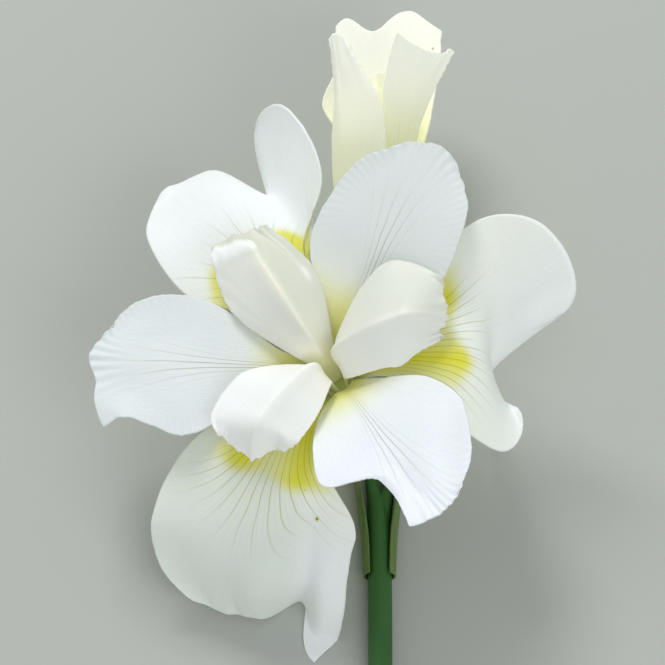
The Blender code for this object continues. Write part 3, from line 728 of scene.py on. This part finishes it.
budBase = dict(
    plainPetal, look="bud", masks=budMasks, grid=(70, 90), thickness=0.4, fanStart=10.0,
    flow=(10.0, 40.0, 1, 0.0), bladeMiddle=34.0, pleats=48.0, pleatDepth=0.16, ruffle=0.4, waves=2.0,
    swell=0.7, ragged=0.4, nibble=0.2, flush=1.0)
budClaw = [((4.3, 2.0), (2.4, -0.4, 0.0), (2.4, -0.4, 0.0))]
budPetals = {
    "bud_fall_left": dict(
        budBase, seed=1.1, azimuth=-130, flush=0.35,
        stations=budClaw + [
            ((8.5, 10.0), (6.0, -1.5, 0.0), (6.0, -1.5, 0.0)),
            ((11.0, 23.0), (7.2, -3.5, 0.0), (9.5, -3.0, 0.0)),
            ((12.5, 37.0), (4.3, -2.5, -1.0), (9.0, -2.5, -2.0)),
            ((15.0, 49.5), (2.5, -0.5, -1.0), (3.5, -0.5, -3.0)),
        ]),
    "bud_fall_right": dict(
        budBase, seed=2.9, azimuth=-38,
        dips=[(1.0, 0.15, 1.0, 8)],
        stations=budClaw + [
            ((6.5, 10.0), (5.0, -1.2, 0.0), (5.0, -1.2, 0.0)),
            ((9.0, 23.0), (6.8, -2.7, 0.0), (6.2, -2.5, 0.0)),
            ((12.0, 36.0), (9.4, -3.2, 0.5), (8.0, -2.0, 0.0)),
            ((17.5, 45.0), (12.0, -2.0, 4.0), (7.5, 0.0, 1.5)),
        ]),
    "bud_fall_back": dict(
        budBase, seed=4.3, azimuth=75,
        dips=[(0.3, 0.28, 3.4, 6), (-0.4, 0.35, -1.5, 6), (0.85, 0.22, -2.2, 6)],
        stations=budClaw + [
            ((7.0, 10.0), (5.5, -1.5, 0.0), (5.5, -1.5, 0.0)),
            ((9.0, 19.0), (8.5, -3.0, 0.0), (8.5, -3.0, 0.0)),
            ((10.2, 27.0), (10.8, -4.0, 0.0), (11.0, -4.0, 0.0)),
            ((11.0, 34.0), (12.0, -4.0, 0.0), (15.0, -4.0, 0.0)),
            ((12.2, 43.0), (12.8, -3.0, -0.5), (12.5, -3.5, -1.0)),
            ((14.0, 55.4), (13.0, -3.0, -4.5), (13.0, -2.0, -4.0)),
        ]),
}
budStandard = dict(
    budBase, ruffle=0.3,
    stations=[
        ((2.9, 2.0), (1.3, -0.2, 0.0), (1.3, -0.2, 0.0)),
        ((4.2, 13.0), (2.6, -0.6, 0.0), (2.6, -0.6, 0.0)),
        ((5.2, 26.0), (4.0, -1.2, 0.0), (4.0, -1.2, 0.0)),
        ((5.6, 41.0), (3.2, -1.0, -1.5), (3.2, -1.0, -1.5)),
    ])
for side, azimuth, seed in (("left", 160, 5.5), ("front", -82, 6.1), ("right", 35, 7.7)):
    budPetals["bud_standard_" + side] = dict(budStandard, azimuth=azimuth, seed=seed)
for node, petal in budPetals.items():
    petalPiece(node, petal, budFrame)
print("half-opened flower made")

bractBase = dict(
    plainPetal, look="bract", masks=bractMasks, grid=(40, 70), thickness=0.4, fanStart=12.0,
    flow=(12.0, 40.0, 1, 0.0), bladeMiddle=15.0, pleats=20.0, pleatDepth=0.05, ruffle=0.0, waves=1.0,
    swell=0.15, ragged=0.2, nibble=0.0,
    stations=[
        ((3.6, 0.0), (2.7, -1.3, 0.0), (2.7, -1.3, 0.0)),
        ((4.1, 10.0), (3.1, -1.4, 0.0), (3.1, -1.4, 0.0)),
        ((5.1, 20.0), (2.8, -1.0, 0.0), (2.8, -1.0, 0.0)),
        ((6.2, 32.0), (0.5, 0.0, 0.0), (0.5, 0.0, 0.0)),
    ])
for side, azimuth, seed in (("left", 180, 1.3), ("right", 0, 2.6)):
    bract = dict(bractBase, azimuth=azimuth, seed=seed)
    petalPiece("spathe_bract_" + side, bract, spatheFrame)
print("spathe made")

stemSkin = dict(
    streakStretch=(1.0, 0.05, 1.0), streakNoise=(1400.0, 4.0), streakShare=0.5,
    patchNoise=(60.0, 3.0),
    dark=(0.02, 0.09, 0.02), green=(0.04, 0.13, 0.03), streak=(0.06, 0.19, 0.04),
    throat=(0.72, 0.75, 0.33), throatHeight=-2.0, throatFade=(-125.0, 1.5),
    roughness=0.42, specular=0.3, scatter=0.08, scatterScale=0.001,
    relief=0.35, reliefDepth=0.0001)


def greenMaterial():
    skin = stemSkin
    made, tree, shader = newMaterial("greenStem")
    coords = objectCoords(tree)
    lengthways = stretched(tree, coords, skin["streakStretch"])
    streaks = noiseNode(tree, lengthways, *skin["streakNoise"])
    patches = noiseNode(tree, coords, *skin["patchNoise"])
    ground = mixColours(tree, patches, skin["dark"], skin["green"])
    streaked = mathNode(tree, "MULTIPLY", streaks, skin["streakShare"])
    ground = mixColours(tree, streaked, ground, skin["streak"])
    middle = bloomFrame @ Vector((0.0, 0.0, skin["throatHeight"])) * mm
    away = distanceFrom(tree, coords, middle)
    throat = mathNode(tree, "MULTIPLY_ADD", away, *skin["throatFade"], clamp=True)
    ground = mixColours(tree, throat, ground, skin["throat"])
    tree.links.new(ground, shader.inputs["Base Color"])
    shader.inputs["Roughness"].default_value = skin["roughness"]
    shader.inputs["Specular IOR Level"].default_value = skin["specular"]
    shader.inputs["Subsurface Weight"].default_value = skin["scatter"]
    shader.inputs["Subsurface Scale"].default_value = skin["scatterScale"]
    addBump(tree, shader, streaks, skin["relief"], skin["reliefDepth"])
    return made


antherSkin = dict(
    grainNoise=(2600.0, 3.0), dusty=(0.66, 0.60, 0.38), pale=(0.86, 0.82, 0.64),
    roughness=0.85, relief=0.6, reliefDepth=0.0002)


def pollenMaterial():
    skin = antherSkin
    made, tree, shader = newMaterial("dryAnther")
    grain = noiseNode(tree, objectCoords(tree), *skin["grainNoise"])
    ground = mixColours(tree, grain, skin["dusty"], skin["pale"])
    tree.links.new(ground, shader.inputs["Base Color"])
    shader.inputs["Roughness"].default_value = skin["roughness"]
    addBump(tree, shader, grain, skin["relief"], skin["reliefDepth"])
    return made


stemLook = greenMaterial()
pollenLook = pollenMaterial()
tubeFinish = dict(roundness=10, weld=0.00001, sharpAngle=50)


def finishedMesh(piece):  # the mesh of a curve, or of a piece with its modifiers applied
    bpy.context.view_layer.update()
    depsgraph = bpy.context.evaluated_depsgraph_get()
    return bpy.data.meshes.new_from_object(piece.evaluated_get(depsgraph))


def tubePiece(name, points, look):  # points are (x, y, z, radius) in millimetres
    curve = bpy.data.curves.new(name, "CURVE")
    curve.dimensions = "3D"
    curve.bevel_depth = mm
    curve.bevel_resolution = tubeFinish["roundness"]
    curve.use_fill_caps = True
    spline = curve.splines.new("POLY")
    spline.points.add(len(points) - 1)
    for knot, (x, y, z, radius) in zip(spline.points, points):
        knot.co = (x * mm, y * mm, z * mm, 1.0)
        knot.radius = radius
    guide = bpy.data.objects.new(name + "Guide", curve)
    bpy.context.scene.collection.objects.link(guide)
    mesh = finishedMesh(guide)
    bpy.data.objects.remove(guide, do_unlink=True)
    shape = bmesh.new()
    shape.from_mesh(mesh)
    bmesh.ops.remove_doubles(shape, verts=shape.verts[:], dist=tubeFinish["weld"])
    bmesh.ops.recalc_face_normals(shape, faces=shape.faces[:])
    shape.to_mesh(mesh)
    shape.free()
    mesh.materials.clear()
    mesh.materials.append(look)
    mesh.shade_smooth()
    mesh.set_sharp_from_angle(angle=math.radians(tubeFinish["sharpAngle"]))
    piece = bpy.data.objects.new(name, mesh)
    bpy.context.scene.collection.objects.link(piece)
    return piece


def onAxis(place, height, radius):
    return (*(place @ Vector((0.0, 0.0, height))), radius)


# The stem with both pedicels, ovaries and tubes. Bends are sideways, onwards and up from the spathe.
# An ovary is given by heights on its flower's axis, each with a share of the full radius, and a tube
# by the heights of its lip and its top.
stem = dict(
    radius=2.7, rest=2.63, length=125.0, pedicel=1.6, ovary=3.1, tubeLip=4.9, tubeTop=5.4,
    mainBends=[(-1.5, 14, 0.2), (-3.2, 24.5, 0.8)],
    bloomOvary=[(-23.0, 0.8), (-18.0, 1.0), (-12.0, 1.0), (-8.0, 0.75)], bloomTube=(-5.43, -4.63),
    sideBends=[(0.0, -2, 0.0), (2.5, 18, 0.3), (3.5, 38, 1.5)],
    budOvary=[(-21.0, 0.7), (-16.0, 1.0), (-8.0, 1.0), (-4.0, 0.75)], budTube=(0.57, 1.37),
    mainRings=120, sideRings=90)


def makeStem():
    sx, sy, sz = spathePlace + centreShift

    def pedicel(bends):
        return [(sx + x, sy + y, sz + z, stem["pedicel"]) for x, y, z in bends]

    def flowerEnd(place, ovary, tube):
        lip, top = tube
        swollen = [onAxis(place, height, stem["ovary"] * share) for height, share in ovary]
        return swollen + [onAxis(place, lip, stem["tubeLip"]), onAxis(place, top, stem["tubeTop"])]

    lying = [
        (sx, sy - stem["length"], stem["rest"], stem["radius"]),
        (sx, sy - stem["length"] / 2, stem["rest"], stem["radius"]),
        (sx, sy, sz, stem["radius"]),
    ]
    main = lying + pedicel(stem["mainBends"])
    main += flowerEnd(bloomFrame, stem["bloomOvary"], stem["bloomTube"])
    side = pedicel(stem["sideBends"])
    side += flowerEnd(budFrame, stem["budOvary"], stem["budTube"])
    grown = tubePiece("greenStem", smoothRoute(main, stem["mainRings"]), stemLook)
    branch = tubePiece("greenBranch", smoothRoute(side, stem["sideRings"]), stemLook)
    union = grown.modifiers.new("Branch", "BOOLEAN")
    union.operation = "UNION"
    union.object = branch
    joined = finishedMesh(grown)
    grown.modifiers.clear()
    grown.data = joined
    bpy.data.objects.remove(branch, do_unlink=True)
    settle(grown, "stem")


makeStem()
print("stem made")

# A stamen runs under its style arm by reach, height and radius, and the rolled style stands on its
# flower's axis by height and radius.
stamen = dict(rings=40, route=[
    (3.0, -4.0, 0.5), (4.6, 3.0, 0.5), (8.0, 8.0, 0.5), (11.0, 9.6, 0.6),
    (12.0, 10.0, 0.9), (17.0, 11.3, 1.0), (21.0, 11.9, 0.7),
])
rolledStyle = dict(rings=30, route=[(1.67, 0.8), (20.0, 1.4), (34.0, 0.7)])
for node, petal in styleArms.items():
    turn = Matrix.Rotation(math.radians(petal["azimuth"]), 4, "Z")
    points = []
    for reach, height, radius in smoothRoute(stamen["route"], stamen["rings"]):
        points.append((*(bloomFrame @ turn @ Vector((reach, 0.0, height))), radius))
    name = node.replace("style_arm", "stamen")
    settle(tubePiece(name + "Tube", points, pollenLook), name)
points = [onAxis(budFrame, height, radius) for height, radius in rolledStyle["route"]]
points = smoothRoute(points, rolledStyle["rings"])
settle(tubePiece("budStyleRoll", points, petalMaterials["bud"]), "bud_style")
print("stamens and style made")

floorLook = dict(
    size=3.0, mottleNoise=(3.0, 2.0), dark=(0.44, 0.46, 0.42), light=(0.48, 0.50, 0.46),
    roughness=0.9)


def makeFloor():
    mesh = bpy.data.meshes.new("paleFloor")
    shape = bmesh.new()
    bmesh.ops.create_grid(shape, x_segments=1, y_segments=1, size=floorLook["size"])
    shape.to_mesh(mesh)
    shape.free()
    made, tree, shader = newMaterial("paleFloor")
    mottle = noiseNode(tree, objectCoords(tree), *floorLook["mottleNoise"])
    tone = mixColours(tree, mottle, floorLook["dark"], floorLook["light"])
    tree.links.new(tone, shader.inputs["Base Color"])
    shader.inputs["Roughness"].default_value = floorLook["roughness"]
    mesh.materials.append(made)
    floor = bpy.data.objects.new("paleFloor", mesh)
    bpy.context.scene.collection.objects.link(floor)


# metres and watts
lighting = dict(
    target=(0.0, 0.03, 0.03), skyColour=(0.92, 0.96, 1.0, 1.0), skyStrength=0.5,
    lamps=[
        dict(name="softKey", place=(-0.3, 0.85, 0.85), size=0.5, power=8.0),
        dict(name="softFill", place=(0.5, -0.8, 0.8), size=1.0, power=5.0),
    ])


def makeLight(name, place, size, power):
    lamp = bpy.data.lights.new(name, "AREA")
    lamp.shape = "DISK"
    lamp.size = size
    lamp.energy = power
    holder = bpy.data.objects.new(name, lamp)
    holder.location = place
    beam = Vector(lighting["target"]) - Vector(place)
    holder.rotation_euler = beam.to_track_quat("-Z", "Y").to_euler()
    bpy.context.scene.collection.objects.link(holder)


makeFloor()
for lampSettings in lighting["lamps"]:
    makeLight(**lampSettings)
world = bpy.data.worlds.new("paleSky")
world.use_nodes = True
sky = world.node_tree.nodes["Background"]
sky.inputs["Color"].default_value = lighting["skyColour"]
sky.inputs["Strength"].default_value = lighting["skyStrength"]
bpy.context.scene.world = world
bpy.context.scene.view_settings.view_transform = "Standard"

# Metres, with the elevation in degrees and the sensor in millimetres. Right and up move the aim off
# the throat, across the picture.
view = dict(elevation=65.0, distance=1.0, frameWidth=0.1516, sensor=36.0, right=-0.0008, up=0.0104)
elevation = math.radians(view["elevation"])
upward = Vector((0.0, math.sin(elevation), math.cos(elevation)))
towards = Vector((0.0, -math.cos(elevation), math.sin(elevation)))
aim = (throatPlace + centreShift) * mm + Vector((view["right"], 0.0, 0.0)) + upward * view["up"]
camera = bpy.data.cameras.new("flowerCamera")
camera.sensor_width = view["sensor"]
camera.lens = camera.sensor_width * view["distance"] / view["frameWidth"]
cameraHolder = bpy.data.objects.new("flowerCamera", camera)
cameraHolder.location = aim + towards * view["distance"]
cameraHolder.rotation_euler = (math.radians(90.0) - elevation, 0.0, 0.0)
bpy.context.scene.collection.objects.link(cameraHolder)
bpy.context.scene.camera = cameraHolder
print("floor, light and camera set")
